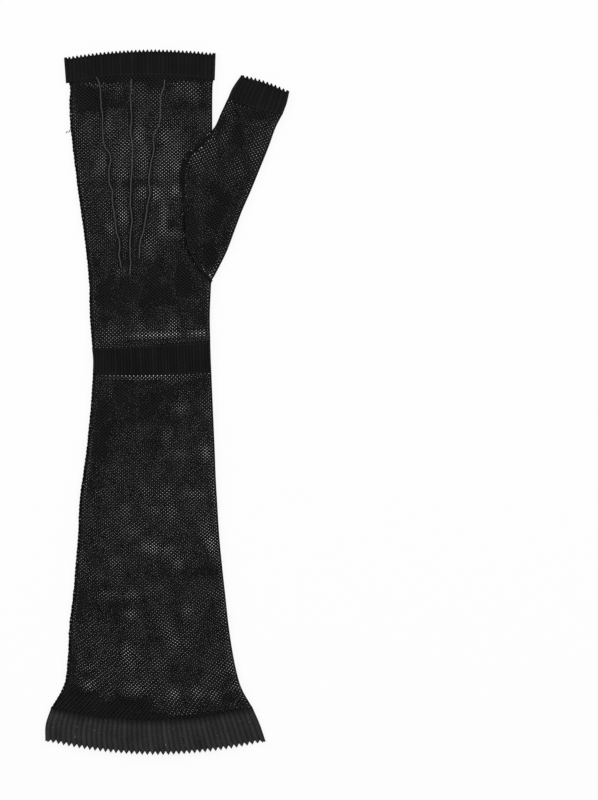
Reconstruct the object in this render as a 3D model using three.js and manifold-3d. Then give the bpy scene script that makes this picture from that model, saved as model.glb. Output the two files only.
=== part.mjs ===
// Evening mitten of knitted silk net, elbow length, for the left hand, laid flat with the back up.
// Millimetres. +Y points to the fingers, +X to the thumb, +Z up; the palm side rests on Z = 0.
import * as THREE from 'three';
import { ParametricGeometry } from 'three/addons/geometries/ParametricGeometry.js';
import { mergeVertices } from 'three/addons/utils/BufferGeometryUtils.js';
import Module from 'manifold-3d';

const wasm = await Module();
wasm.setup();

// Driving sizes
const HAND_WIDTH = 88;
const LENGTH = 416;
const FOLD_RADIUS = 2.8;
const CROWN = 2.2;
const NET_WALL = 1;
const BAND_WALL = 1.2;
const GAP = 0.3;
const SEAM_WIDTH = 1.2;
const CORD_WIDTH = 1.3;
const WALES_ROUND = 84;
const THUMB_WALES_ROUND = 26;
const TOOTH_DEPTH = 2.3;
const RIB_DEPTH = 0.35;
const FOLD_STEPS = 3;
const FLAT_STEPS = 7;
const CORD_SEGMENTS = 16;

// One row is a line across the laid sleeve. Down is a share of LENGTH from the finger edge,
// left and right are shares of HAND_WIDTH from the middle of the hand, and bow is how far the
// middle of the row hangs below its ends, in shares of HAND_WIDTH.
const FINGER_BAND_ROWS = [
  { leftDown: 0.0113, left: -0.508, rightDown: 0.005, right: 0.511, bow: -0.037 },
  { leftDown: 0.0461, left: -0.495, rightDown: 0.0411, right: 0.505, bow: -0.037 },
];
const HAND_ROWS = [
  { leftDown: 0.0475, left: -0.47, rightDown: 0.0425, right: 0.491, bow: -0.037 },
  { leftDown: 0.0766, left: -0.471, rightDown: 0.0766, right: 0.488, bow: -0.02 },
  { leftDown: 0.1106, left: -0.464, rightDown: 0.1106, right: 0.488, bow: -0.013 },
  { leftDown: 0.1447, left: -0.446, rightDown: 0.1447, right: 0.486, bow: -0.007 },
  { leftDown: 0.1957, left: -0.417, rightDown: 0.1957, right: 0.486, bow: 0 },
  { leftDown: 0.2468, left: -0.383, rightDown: 0.2468, right: 0.484, bow: 0 },
  { leftDown: 0.2978, left: -0.354, rightDown: 0.2978, right: 0.484, bow: 0 },
  { leftDown: 0.3319, left: -0.34, rightDown: 0.3319, right: 0.48, bow: 0 },
  { leftDown: 0.3744, left: -0.335, rightDown: 0.3744, right: 0.472, bow: 0 },
];
const WRIST_BAND_ROWS = [
  { leftDown: 0.417, left: -0.323, rightDown: 0.4113, right: 0.475, bow: 0.007 },
  { leftDown: 0.4368, left: -0.313, rightDown: 0.434, right: 0.478, bow: 0.013 },
  { leftDown: 0.4694, left: -0.318, rightDown: 0.4694, right: 0.484, bow: 0.013 },
];
const FOREARM_ROWS = [
  { leftDown: 0.5021, left: -0.327, rightDown: 0.5021, right: 0.491, bow: 0.013 },
  { leftDown: 0.5361, left: -0.342, rightDown: 0.5361, right: 0.498, bow: 0.013 },
  { leftDown: 0.5701, left: -0.36, rightDown: 0.5701, right: 0.505, bow: 0.013 },
  { leftDown: 0.6042, left: -0.381, rightDown: 0.6042, right: 0.511, bow: 0.013 },
  { leftDown: 0.6382, left: -0.403, rightDown: 0.6382, right: 0.52, bow: 0.02 },
  { leftDown: 0.6893, left: -0.414, rightDown: 0.6893, right: 0.535, bow: 0.02 },
  { leftDown: 0.7318, left: -0.43, rightDown: 0.7318, right: 0.554, bow: 0.027 },
  { leftDown: 0.7744, left: -0.448, rightDown: 0.7744, right: 0.576, bow: 0.034 },
  { leftDown: 0.8169, left: -0.472, rightDown: 0.8169, right: 0.598, bow: 0.04 },
  { leftDown: 0.8595, left: -0.482, rightDown: 0.8595, right: 0.629, bow: 0.054 },
  { leftDown: 0.8935, left: -0.498, rightDown: 0.8935, right: 0.665, bow: 0.067 },
  { leftDown: 0.9105, left: -0.528, rightDown: 0.9105, right: 0.696, bow: 0.074 },
];
const ELBOW_CUFF_ROWS = [
  { leftDown: 0.9332, left: -0.595, rightDown: 0.9311, right: 0.755, bow: 0.084 },
  { leftDown: 0.9573, left: -0.631, rightDown: 0.9559, right: 0.806, bow: 0.087 },
  { leftDown: 0.98, left: -0.633, rightDown: 0.9807, right: 0.846, bow: 0.0905 },
];
const THUMB_BAND_ROWS = [
  { leftDown: 0.0355, left: 0.682, rightDown: 0.0589, right: 1.005, bow: -0.011 },
  { leftDown: 0.0539, left: 0.622, rightDown: 0.0759, right: 0.987, bow: 0 },
  { leftDown: 0.0702, left: 0.588, rightDown: 0.0929, right: 0.957, bow: 0.007 },
];
const THUMB_ROWS = [
  { leftDown: 0.0894, left: 0.545, rightDown: 0.1106, right: 0.912, bow: 0 },
  { leftDown: 0.1135, left: 0.488, rightDown: 0.1369, right: 0.867, bow: 0 },
  { leftDown: 0.1376, left: 0.397, rightDown: 0.1659, right: 0.812, bow: 0 },
  { leftDown: 0.1638, left: 0.31, rightDown: 0.1986, right: 0.749, bow: 0 },
  { leftDown: 0.1971, left: 0.29, rightDown: 0.2283, right: 0.688, bow: 0 },
  { leftDown: 0.2326, left: 0.307, rightDown: 0.2567, right: 0.637, bow: 0 },
  { leftDown: 0.2695, left: 0.324, rightDown: 0.2879, right: 0.581, bow: 0 },
  { leftDown: 0.31, left: 0.41, rightDown: 0.3283, right: 0.485, bow: 0 },
];

// Seam between the hand and the thumb, on the back and on the palm side, from the fork downwards
const BACK_SEAM = [
  { down: 0.0042, across: 0.499 },
  { down: 0.105, across: 0.499 },
  { down: 0.1177, across: 0.488 },
  { down: 0.1376, across: 0.397 },
  { down: 0.1503, across: 0.334 },
  { down: 0.1638, across: 0.303 },
  { down: 0.1787, across: 0.29 },
  { down: 0.1971, across: 0.29 },
  { down: 0.2156, across: 0.303 },
  { down: 0.2454, across: 0.312 },
  { down: 0.2766, across: 0.326 },
  { down: 0.2936, across: 0.357 },
  { down: 0.3149, across: 0.421 },
  { down: 0.3305, across: 0.498 },
  { down: 0.3475, across: 0.58 },
];
const PALM_SEAM = [
  { down: 0.0042, across: 0.499 },
  { down: 0.105, across: 0.499 },
  { down: 0.1206, across: 0.488 },
  { down: 0.1418, across: 0.478 },
  { down: 0.1801, across: 0.435 },
  { down: 0.2042, across: 0.421 },
  { down: 0.2255, across: 0.444 },
  { down: 0.2525, across: 0.444 },
  { down: 0.2766, across: 0.458 },
  { down: 0.3149, across: 0.475 },
  { down: 0.3305, across: 0.498 },
  { down: 0.3475, across: 0.58 },
];

// Raised cords on the back of the hand: where each starts and ends, and how far it sways
const CORDS = [
  { name: 'point_outer', start: 0.049, end: 0.308, startAcross: -0.268, endAcross: -0.121, sway: 0.009 },
  { name: 'point_middle', start: 0.041, end: 0.319, startAcross: -0.054, endAcross: -0.058, sway: 0.005 },
  { name: 'point_inner', start: 0.043, end: 0.3, startAcross: 0.166, endAcross: 0, sway: 0.008 },
];
const CORD_WAVES = 5;

const COLORS = {
  net: 0x26262a,
  band: 0x17171a,
  cuff: 0x2c2c30,
  cord: 0x46464b,
};

// A row moved down the sleeve by some millimetres
function moved(row, distance) {
  const step = distance / LENGTH;
  return { ...row, leftDown: row.leftDown + step, rightDown: row.rightDown + step };
}

// A row whose little-finger end is drawn in, which leaves room for the side seam
function drawnIn(row) {
  return { ...row, left: row.left + (SEAM_WIDTH + GAP) / HAND_WIDTH };
}

function rowWidth(row) {
  const wide = (row.right - row.left) * HAND_WIDTH;
  const slant = (row.rightDown - row.leftDown) * LENGTH;
  return Math.hypot(wide, slant);
}

function rowPoint(row, across, height, drop, target) {
  const x = THREE.MathUtils.lerp(row.left, row.right, across) * HAND_WIDTH;
  const down = THREE.MathUtils.lerp(row.leftDown, row.rightDown, across) * LENGTH;
  const bow = row.bow * HAND_WIDTH * (1 - (2 * across - 1) ** 2);
  return target.set(x, -down - bow - drop, height);
}

// Extra height of the back over the fold's own height, at a distance from the middle of the row
function crownHeight(offset, flat) {
  const share = THREE.MathUtils.clamp(offset / flat, -0.5, 0.5);
  return CROWN * Math.cos(Math.PI * share) ** 2;
}

// Point of the flattened section. The walk starts at the left fold, crosses the palm side to the
// right fold and comes back over the back of the hand.
function sectionPoint(row, share, inset, drop, target) {
  const width = rowWidth(row);
  const radius = FOLD_RADIUS - inset;
  const flat = width - 2 * FOLD_RADIUS;
  const quarter = Math.PI * radius / 2;
  const half = flat + 2 * quarter;
  const onBack = share > 0.5;
  const side = onBack ? 1 : -1;
  const walk = (onBack ? 1 - share : share) * 2 * half;
  let offset = walk - quarter - flat / 2;
  let rise = side * radius;
  if (walk < quarter) {
    offset = -flat / 2 - radius * Math.cos(walk / radius);
    rise = side * radius * Math.sin(walk / radius);
  } else if (walk > half - quarter) {
    offset = flat / 2 + radius * Math.cos((half - walk) / radius);
    rise = side * radius * Math.sin((half - walk) / radius);
  } else if (onBack) {
    rise += crownHeight(offset, flat);
  }
  return rowPoint(row, offset / width + 0.5, FOLD_RADIUS + rise, drop, target);
}

// Shares of the walk for a plain wall: close together at the folds, wide apart on the flats
function plainShares(row, inset) {
  const quarter = Math.PI * (FOLD_RADIUS - inset) / 2;
  const flat = rowWidth(row) - 2 * FOLD_RADIUS;
  const half = flat + 2 * quarter;
  const walks = [];
  for (let i = 0; i < FOLD_STEPS; i += 1) {
    walks.push(quarter * i / FOLD_STEPS);
  }
  for (let i = 0; i < FLAT_STEPS; i += 1) {
    walks.push(quarter + flat * i / FLAT_STEPS);
  }
  for (let i = 0; i < FOLD_STEPS; i += 1) {
    walks.push(half - quarter + quarter * i / FOLD_STEPS);
  }
  const palm = walks.map((walk) => walk / half / 2);
  const back = [0.5, ...palm.slice(1).toReversed().map((share) => 1 - share)];
  return [...palm, ...back];
}

function evenShares(count) {
  return Array.from({ length: count }, (_, i) => i / count);
}

// Skin through a list of loops; each loop is a list of points with the same count
function skin(loops, closed) {
  const across = loops[0].length;
  const along = closed ? loops.length : loops.length - 1;
  const surface = (u, v, target) => {
    const loop = loops[Math.round(v * along) % loops.length];
    target.copy(loop[Math.round(u * across) % across]);
  };
  return tidy(new ParametricGeometry(surface, across, along));
}

// Shared corners and no empty triangles
function tidy(source) {
  const geometry = source.clone();
  geometry.deleteAttribute('normal');
  geometry.deleteAttribute('uv');
  const merged = mergeVertices(geometry, 1e-4);
  const index = merged.index.array;
  const kept = [];
  for (let i = 0; i < index.length; i += 3) {
    const [a, b, c] = [index[i], index[i + 1], index[i + 2]];
    if (a !== b && b !== c && c !== a) {
      kept.push(a, b, c);
    }
  }
  merged.setIndex(kept);
  return merged;
}

function loopOf(row, shares, inset, shape = {}) {
  const { tooth = 0, rib = 0 } = shape;
  return shares.map((share, i) => {
    const low = i % 2 === 1;
    const sunk = inset + (low ? rib : 0);
    return sectionPoint(row, share, sunk, low ? tooth : 0, new THREE.Vector3());
  });
}

// Hollow length of sleeve: outer loops run down it and inner loops come back
function plainWall(rows, wall) {
  const outer = rows.map((row) => loopOf(row, plainShares(row, 0), 0));
  const inner = rows.map((row) => loopOf(row, plainShares(row, wall), wall));
  return skin([...outer, ...inner.toReversed()], true);
}

// Ribbed band. Two points a wale, so that each rib has a crest and each crest can end in a tooth.
function ribbedWall(rows, wales, shape) {
  const shares = evenShares(2 * wales);
  const outer = rows.map((row, i) => loopOf(row, shares, 0, shape[i]));
  const inner = rows.map((row, i) => loopOf(row, shares, BAND_WALL, { tooth: shape[i].tooth }));
  return skin([...outer, ...inner.toReversed()], true);
}

// Solid length of sleeve with closed ends, for joining and cutting
function solidSleeve(rows, inset) {
  const loops = rows.map((row) => loopOf(row, plainShares(row, inset), inset));
  const cap = (row, loop) => {
    const middle = rowPoint(row, 0.5, FOLD_RADIUS, 0, new THREE.Vector3());
    return loop.map(() => middle);
  };
  const first = cap(rows[0], loops[0]);
  const last = cap(rows.at(-1), loops.at(-1));
  return skin([first, ...loops, last], false);
}

// Extruded region on the thumb's side of the seam, between two heights
function thumbSide(seam, shift, from, to) {
  const outline = seam.map((point) => new THREE.Vector2(
    point.across * HAND_WIDTH + shift,
    -point.down * LENGTH,
  ));
  const beyond = 1.2 * HAND_WIDTH;
  outline.push(new THREE.Vector2(beyond, -seam.at(-1).down * LENGTH));
  outline.push(new THREE.Vector2(beyond, -seam[0].down * LENGTH));
  const region = new THREE.ExtrudeGeometry(new THREE.Shape(outline), {
    depth: to - from,
    bevelEnabled: false,
  });
  region.translate(0, 0, from);
  return tidy(region);
}

function toManifold(geometry) {
  const vertProperties = new Float32Array(geometry.attributes.position.array);
  const triVerts = new Uint32Array(geometry.index.array);
  const mesh = new wasm.Mesh({ numProp: 3, vertProperties, triVerts });
  return new wasm.Manifold(mesh);
}

function fromManifold(solid) {
  const mesh = solid.getMesh();
  const geometry = new THREE.BufferGeometry();
  geometry.setAttribute('position', new THREE.BufferAttribute(mesh.vertProperties, 3));
  geometry.setIndex(Array.from(mesh.triVerts));
  return tidy(geometry);
}

// Straight continuation of a list of rows past its first and last row
function pastBothEnds(rows, distance) {
  return [moved(rows[0], -distance), ...rows, moved(rows.at(-1), distance)];
}

const handRows = [...HAND_ROWS, moved(WRIST_BAND_ROWS[0], -GAP)].map(drawnIn);
const forearmRows = [
  moved(WRIST_BAND_ROWS.at(-1), GAP),
  ...FOREARM_ROWS,
  moved(ELBOW_CUFF_ROWS[0], -GAP),
].map(drawnIn);
const thumbRows = [moved(THUMB_BAND_ROWS.at(-1), GAP), ...THUMB_ROWS];
const openThumbRows = [moved(thumbRows[0], -2 * NET_WALL), ...thumbRows];

function handAndThumb() {
  const outer = toManifold(solidSleeve(handRows, 0)).add(toManifold(solidSleeve(thumbRows, 0)));
  const handHollow = toManifold(solidSleeve(pastBothEnds(handRows, 2 * NET_WALL), NET_WALL));
  const thumbHollow = toManifold(solidSleeve(openThumbRows, NET_WALL));
  const walls = outer.subtract(handHollow.add(thumbHollow));
  const level = FOLD_RADIUS;
  const above = 4 * FOLD_RADIUS;
  const shift = 0.7 * GAP;
  const sideAt = (offset) => toManifold(thumbSide(BACK_SEAM, offset, level, above))
    .add(toManifold(thumbSide(PALM_SEAM, offset, -above, level)));
  return {
    hand: fromManifold(walls.subtract(sideAt(-shift))),
    thumb: fromManifold(walls.intersect(sideAt(shift))),
  };
}

// Height of the back of the hand at a place given in shares of the sleeve's sizes
function backHeight(across, down) {
  const below = handRows.findIndex((row) => row.leftDown > down);
  const upper = handRows[Math.max(below - 1, 0)];
  const lower = handRows[Math.max(below, 1)];
  const blend = (down - upper.leftDown) / (lower.leftDown - upper.leftDown);
  const left = THREE.MathUtils.lerp(upper.left, lower.left, blend);
  const right = THREE.MathUtils.lerp(upper.right, lower.right, blend);
  const flat = (right - left) * HAND_WIDTH - 2 * FOLD_RADIUS;
  const offset = (across - (left + right) / 2) * HAND_WIDTH;
  return 2 * FOLD_RADIUS + crownHeight(offset, flat);
}

function tubeAlong(points, width) {
  const path = new THREE.CatmullRomCurve3(points);
  const section = new THREE.Shape(
    Array.from({ length: 6 }, (_, i) => {
      const angle = Math.PI * i / 3;
      return new THREE.Vector2(Math.cos(angle), Math.sin(angle)).multiplyScalar(width / 2);
    }),
  );
  const options = { steps: 2 * points.length, bevelEnabled: false, extrudePath: path };
  return tidy(new THREE.ExtrudeGeometry(section, options));
}

function cord(spec) {
  const points = [];
  for (let i = 0; i <= CORD_SEGMENTS; i += 1) {
    const share = i / CORD_SEGMENTS;
    const down = THREE.MathUtils.lerp(spec.start, spec.end, share);
    const sway = spec.sway * Math.sin(2 * Math.PI * CORD_WAVES * share);
    const across = THREE.MathUtils.lerp(spec.startAcross, spec.endAcross, share) + sway;
    const height = backHeight(across, down) + GAP + CORD_WIDTH / 2;
    points.push(new THREE.Vector3(across * HAND_WIDTH, -down * LENGTH, height));
  }
  return tubeAlong(points, CORD_WIDTH);
}

// Seam along the little-finger fold of a net, ended short of the bands
function sideSeam(rows) {
  const first = moved(rows[0], SEAM_WIDTH);
  const last = moved(rows.at(-1), -SEAM_WIDTH);
  const points = [first, ...rows.slice(1, -1), last].map((row) => new THREE.Vector3(
    row.left * HAND_WIDTH - GAP - SEAM_WIDTH / 2,
    -row.leftDown * LENGTH,
    FOLD_RADIUS,
  ));
  return tubeAlong(points, SEAM_WIDTH);
}

const group = new THREE.Group();
group.name = 'evening_mitten';

function addPiece(name, geometry, color) {
  geometry.computeVertexNormals();
  const material = new THREE.MeshStandardMaterial({ color, roughness: 0.75, metalness: 0 });
  const mesh = new THREE.Mesh(geometry, material);
  mesh.name = name;
  group.add(mesh);
}

const joined = handAndThumb();
const fingerTeeth = [{ tooth: TOOTH_DEPTH, rib: 0 }, { tooth: 0, rib: 0 }];
const thumbTeeth = [...fingerTeeth, { tooth: 0, rib: 0 }];
const cuffTeeth = [
  { tooth: 0, rib: RIB_DEPTH },
  { tooth: 0, rib: RIB_DEPTH },
  { tooth: -TOOTH_DEPTH, rib: 0 },
];
addPiece('finger_band', ribbedWall(FINGER_BAND_ROWS, WALES_ROUND, fingerTeeth), COLORS.band);
addPiece('hand_net', joined.hand, COLORS.net);
addPiece('thumb_net', joined.thumb, COLORS.net);
addPiece('thumb_band', ribbedWall(THUMB_BAND_ROWS, THUMB_WALES_ROUND, thumbTeeth), COLORS.band);
addPiece('wrist_band', plainWall(WRIST_BAND_ROWS, BAND_WALL), COLORS.band);
addPiece('forearm_net', plainWall(forearmRows, NET_WALL), COLORS.net);
addPiece('elbow_cuff', ribbedWall(ELBOW_CUFF_ROWS, WALES_ROUND, cuffTeeth), COLORS.cuff);
CORDS.forEach((spec) => addPiece(spec.name, cord(spec), COLORS.cord));
addPiece('hand_side_seam', sideSeam(handRows), COLORS.band);
addPiece('forearm_side_seam', sideSeam(forearmRows), COLORS.band);

const box = new THREE.Box3().setFromObject(group);
const middle = box.getCenter(new THREE.Vector3());
group.children.forEach((mesh) => mesh.geometry.translate(-middle.x, -middle.y, -box.min.z));

export default group;
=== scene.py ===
"""Evening mitten of knitted net, laid flat with its back up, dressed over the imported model."""
import math
from collections import namedtuple

import bmesh
import bpy
from bpy.props import FloatProperty, FloatVectorProperty, IntProperty, PointerProperty
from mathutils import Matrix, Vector, kdtree, noise


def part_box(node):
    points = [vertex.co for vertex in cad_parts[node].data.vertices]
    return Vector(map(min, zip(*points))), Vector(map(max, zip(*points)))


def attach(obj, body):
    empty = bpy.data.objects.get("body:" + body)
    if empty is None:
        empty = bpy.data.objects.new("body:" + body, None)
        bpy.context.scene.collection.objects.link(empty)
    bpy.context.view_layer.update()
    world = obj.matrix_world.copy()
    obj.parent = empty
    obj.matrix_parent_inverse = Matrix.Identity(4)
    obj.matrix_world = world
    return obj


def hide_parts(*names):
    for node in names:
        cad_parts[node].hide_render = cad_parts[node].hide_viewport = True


bl_info = {
    "name": "Evening Mitten",
    "version": (1, 0, 0),
    "blender": (4, 5, 0),
    "location": "View3D > Sidebar > Mitten",
    "description": "Builds a laid net mitten with bands, cords and seams",
    "category": "Object",
}

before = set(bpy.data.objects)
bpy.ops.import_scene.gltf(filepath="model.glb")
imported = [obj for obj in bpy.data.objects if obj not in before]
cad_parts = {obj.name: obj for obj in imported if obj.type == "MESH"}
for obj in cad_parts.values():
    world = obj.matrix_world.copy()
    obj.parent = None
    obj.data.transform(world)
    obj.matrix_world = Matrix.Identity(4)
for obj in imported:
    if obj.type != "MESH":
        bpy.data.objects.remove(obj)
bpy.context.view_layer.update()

# Vector noise starts from the clock unless it is given a seed
NOISE_SEED = 1795805599
noise.seed_set(NOISE_SEED)

# The finger band's box gives the two sizes that the tables' shares follow, and their origin
BAND_LOW, BAND_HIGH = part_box("finger_band")
CUFF_LOW, CUFF_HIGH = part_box("elbow_cuff")
BAND_SHARE = 1.019
BAND_LEFT_SHARE = 0.508
CAD_HAND_WIDTH = (BAND_HIGH[0] - BAND_LOW[0]) / BAND_SHARE
CAD_LENGTH = BAND_HIGH[1] - CUFF_LOW[1]

Row = namedtuple("Row", "left_down left right_down right bow")
Patch = namedtuple("Patch", "down across reach_down reach_across amount")
Place = namedtuple("Place", "down across")
Net = namedtuple(
    "Net",
    "node sleeve wales taper seed patches ease seam start_lines end_lines tight_fold under",
)


def table(kind, rows):
    """Named tuples from rows of numbers."""
    return [kind(*row) for row in rows]


# One row is a line across the laid sleeve, from the little-finger side to the thumb side. Down is
# a share of the length from the finger edge, left and right are shares of the hand's width from
# its middle, and bow is how far the row's middle hangs below its ends, in hand widths.
FINGER_BAND = table(Row, [
    (0.0113, -0.508, 0.0050, 0.511, -0.037),
    (0.0476, -0.495, 0.0434, 0.505, -0.041),
])
HAND = table(Row, [
    (0.0445, -0.480, 0.0405, 0.500, -0.037),
    (0.0520, -0.468, 0.0480, 0.491, -0.034),
    (0.0766, -0.471, 0.0766, 0.488, -0.020),
    (0.1106, -0.464, 0.1106, 0.488, -0.013),
    (0.1447, -0.446, 0.1447, 0.486, -0.007),
    (0.1957, -0.417, 0.1957, 0.486, 0.0),
    (0.2468, -0.383, 0.2468, 0.484, 0.0),
    (0.2978, -0.354, 0.2978, 0.484, 0.0),
    (0.3319, -0.340, 0.3319, 0.480, 0.0),
    (0.3744, -0.335, 0.3744, 0.472, 0.0),
    (0.4250, -0.318, 0.4155, 0.475, 0.005),
])
WRIST_BAND = table(Row, [
    (0.4235, -0.320, 0.4140, 0.475, 0.005),
    (0.4400, -0.313, 0.4370, 0.478, 0.010),
    (0.4600, -0.315, 0.4570, 0.482, 0.010),
])
FOREARM = table(Row, [
    (0.4595, -0.315, 0.4565, 0.482, 0.010),
    (0.4694, -0.318, 0.4680, 0.484, 0.012),
    (0.5021, -0.327, 0.5021, 0.491, 0.013),
    (0.5361, -0.342, 0.5361, 0.498, 0.013),
    (0.5701, -0.360, 0.5701, 0.505, 0.013),
    (0.6042, -0.381, 0.6042, 0.511, 0.013),
    (0.6382, -0.403, 0.6382, 0.520, 0.020),
    (0.6893, -0.414, 0.6893, 0.535, 0.020),
    (0.7318, -0.430, 0.7318, 0.554, 0.027),
    (0.7744, -0.448, 0.7744, 0.576, 0.034),
    (0.8169, -0.472, 0.8169, 0.598, 0.040),
    (0.8595, -0.482, 0.8595, 0.629, 0.054),
    (0.8935, -0.498, 0.8935, 0.665, 0.067),
    (0.9105, -0.528, 0.9105, 0.696, 0.074),
    (0.9345, -0.597, 0.9325, 0.757, 0.084),
])
ELBOW_CUFF = table(Row, [
    (0.9332, -0.595, 0.9311, 0.755, 0.0840),
    (0.9573, -0.631, 0.9559, 0.806, 0.0870),
    (0.9800, -0.633, 0.9807, 0.846, 0.0905),
])
THUMB_BAND = table(Row, [
    (0.0355, 0.682, 0.0589, 1.005, -0.011),
    (0.0539, 0.622, 0.0759, 0.987, 0.0),
    (0.0702, 0.588, 0.0929, 0.957, 0.007),
])
THUMB = table(Row, [
    (0.0690, 0.590, 0.0915, 0.958, 0.007),
    (0.0894, 0.545, 0.1106, 0.912, 0.0),
    (0.1135, 0.488, 0.1369, 0.867, 0.0),
    (0.1390, 0.350, 0.1659, 0.812, 0.0),
    (0.1700, 0.240, 0.1986, 0.749, 0.0),
    (0.2000, 0.180, 0.2283, 0.688, 0.0),
    (0.2290, 0.130, 0.2567, 0.637, 0.0),
    (0.2600, 0.080, 0.2879, 0.581, 0.0),
    (0.3020, 0.000, 0.3300, 0.480, 0.0),
])

# Seam between hand and thumb, from the fork to the right edge
BACK_SEAM = table(Place, [
    (0.1120, 0.496), (0.1177, 0.488), (0.1376, 0.397), (0.1503, 0.334),
    (0.1638, 0.303), (0.1787, 0.290), (0.1971, 0.290), (0.2156, 0.303),
    (0.2454, 0.312), (0.2766, 0.326), (0.2936, 0.357), (0.3149, 0.421),
    (0.3283, 0.486),
])

# Raised cords on the back of the hand
CORDS = {
    "point_outer": table(Place, [
        (0.0397, -0.287), (0.0496, -0.267), (0.0709, -0.256), (0.0794, -0.256),
        (0.0993, -0.244), (0.1220, -0.244), (0.1390, -0.229), (0.1503, -0.195),
        (0.1744, -0.206), (0.1886, -0.200), (0.2028, -0.179), (0.2212, -0.179),
        (0.2397, -0.162), (0.2581, -0.153), (0.2723, -0.134), (0.2922, -0.134),
        (0.3078, -0.123),
    ]),
    "point_middle": table(Place, [
        (0.0383, -0.052), (0.0567, -0.053), (0.0752, -0.059), (0.0964, -0.053),
        (0.1177, -0.057), (0.1390, -0.042), (0.1574, -0.048), (0.1815, -0.053),
        (0.2042, -0.055), (0.2184, -0.062), (0.2376, -0.049), (0.2567, -0.057),
        (0.2751, -0.063), (0.2993, -0.059), (0.3191, -0.062),
    ]),
    "point_inner": table(Place, [
        (0.0383, 0.168), (0.0511, 0.166), (0.0723, 0.141), (0.0922, 0.141),
        (0.1078, 0.132), (0.1220, 0.099), (0.1411, 0.096), (0.1574, 0.082),
        (0.1744, 0.071), (0.1886, 0.066), (0.2028, 0.071), (0.2212, 0.055),
        (0.2397, 0.042), (0.2581, 0.027), (0.2751, 0.004), (0.2964, -0.001),
    ]),
}

# Places where the holes of the two laid layers meet, so that the floor shows, or miss each other.
# Reaches are shares of the length and of the hand's width; the amount adds to the openness.
HAND_PATCHES = table(Patch, [
    (0.0780, -0.199, 0.0128, 0.040, 0.25), (0.1106, -0.213, 0.0113, 0.034, 0.40),
    (0.1390, -0.099, 0.0128, 0.040, 0.45), (0.1603, -0.253, 0.0199, 0.040, 0.40),
    (0.1730, -0.119, 0.0199, 0.047, 0.40), (0.0823, 0.015, 0.0312, 0.034, 0.35),
    (0.1234, 0.002, 0.0113, 0.034, 0.50), (0.1560, 0.028, 0.0255, 0.040, 0.50),
    (0.1234, 0.163, 0.0085, 0.034, 0.45), (0.0709, 0.236, 0.0170, 0.034, 0.30),
    (0.1489, 0.216, 0.0312, 0.080, 0.50), (0.1674, 0.256, 0.0071, 0.034, 0.45),
    (0.1730, 0.149, 0.0113, 0.034, 0.40), (0.2042, 0.109, 0.0099, 0.040, 0.85),
    (0.2028, 0.022, 0.0085, 0.034, 0.60), (0.2000, 0.243, 0.0071, 0.047, 0.85),
    (0.2298, 0.169, 0.0199, 0.027, 0.60), (0.2369, -0.112, 0.0113, 0.040, 0.70),
    (0.2099, -0.126, 0.0170, 0.034, 0.25), (0.2525, -0.193, 0.0099, 0.034, 0.50),
    (0.2525, 0.156, 0.0113, 0.027, 0.40), (0.2610, 0.230, 0.0071, 0.047, 0.45),
    (0.2780, 0.062, 0.0199, 0.040, 0.45), (0.3149, -0.132, 0.0057, 0.034, 0.45),
    (0.3943, 0.223, 0.0142, 0.034, 0.55), (0.3943, 0.002, 0.0085, 0.040, 0.35),
    (0.4042, 0.112, 0.0060, 0.130, 0.55), (0.4042, 0.430, 0.0050, 0.070, 0.40),
    (0.3574, 0.377, 0.0071, 0.034, 0.25), (0.0750, 0.000, 0.0220, 0.600, -0.12),
    (0.1050, -0.360, 0.0350, 0.090, 0.12), (0.3400, 0.080, 0.0480, 0.600, -0.28),
    (0.3950, -0.300, 0.0200, 0.120, -0.30), (0.2468, 0.216, 0.0057, 0.040, -0.45),
    (0.1900, -0.065, 0.0043, 0.282, -0.30),
])
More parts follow.
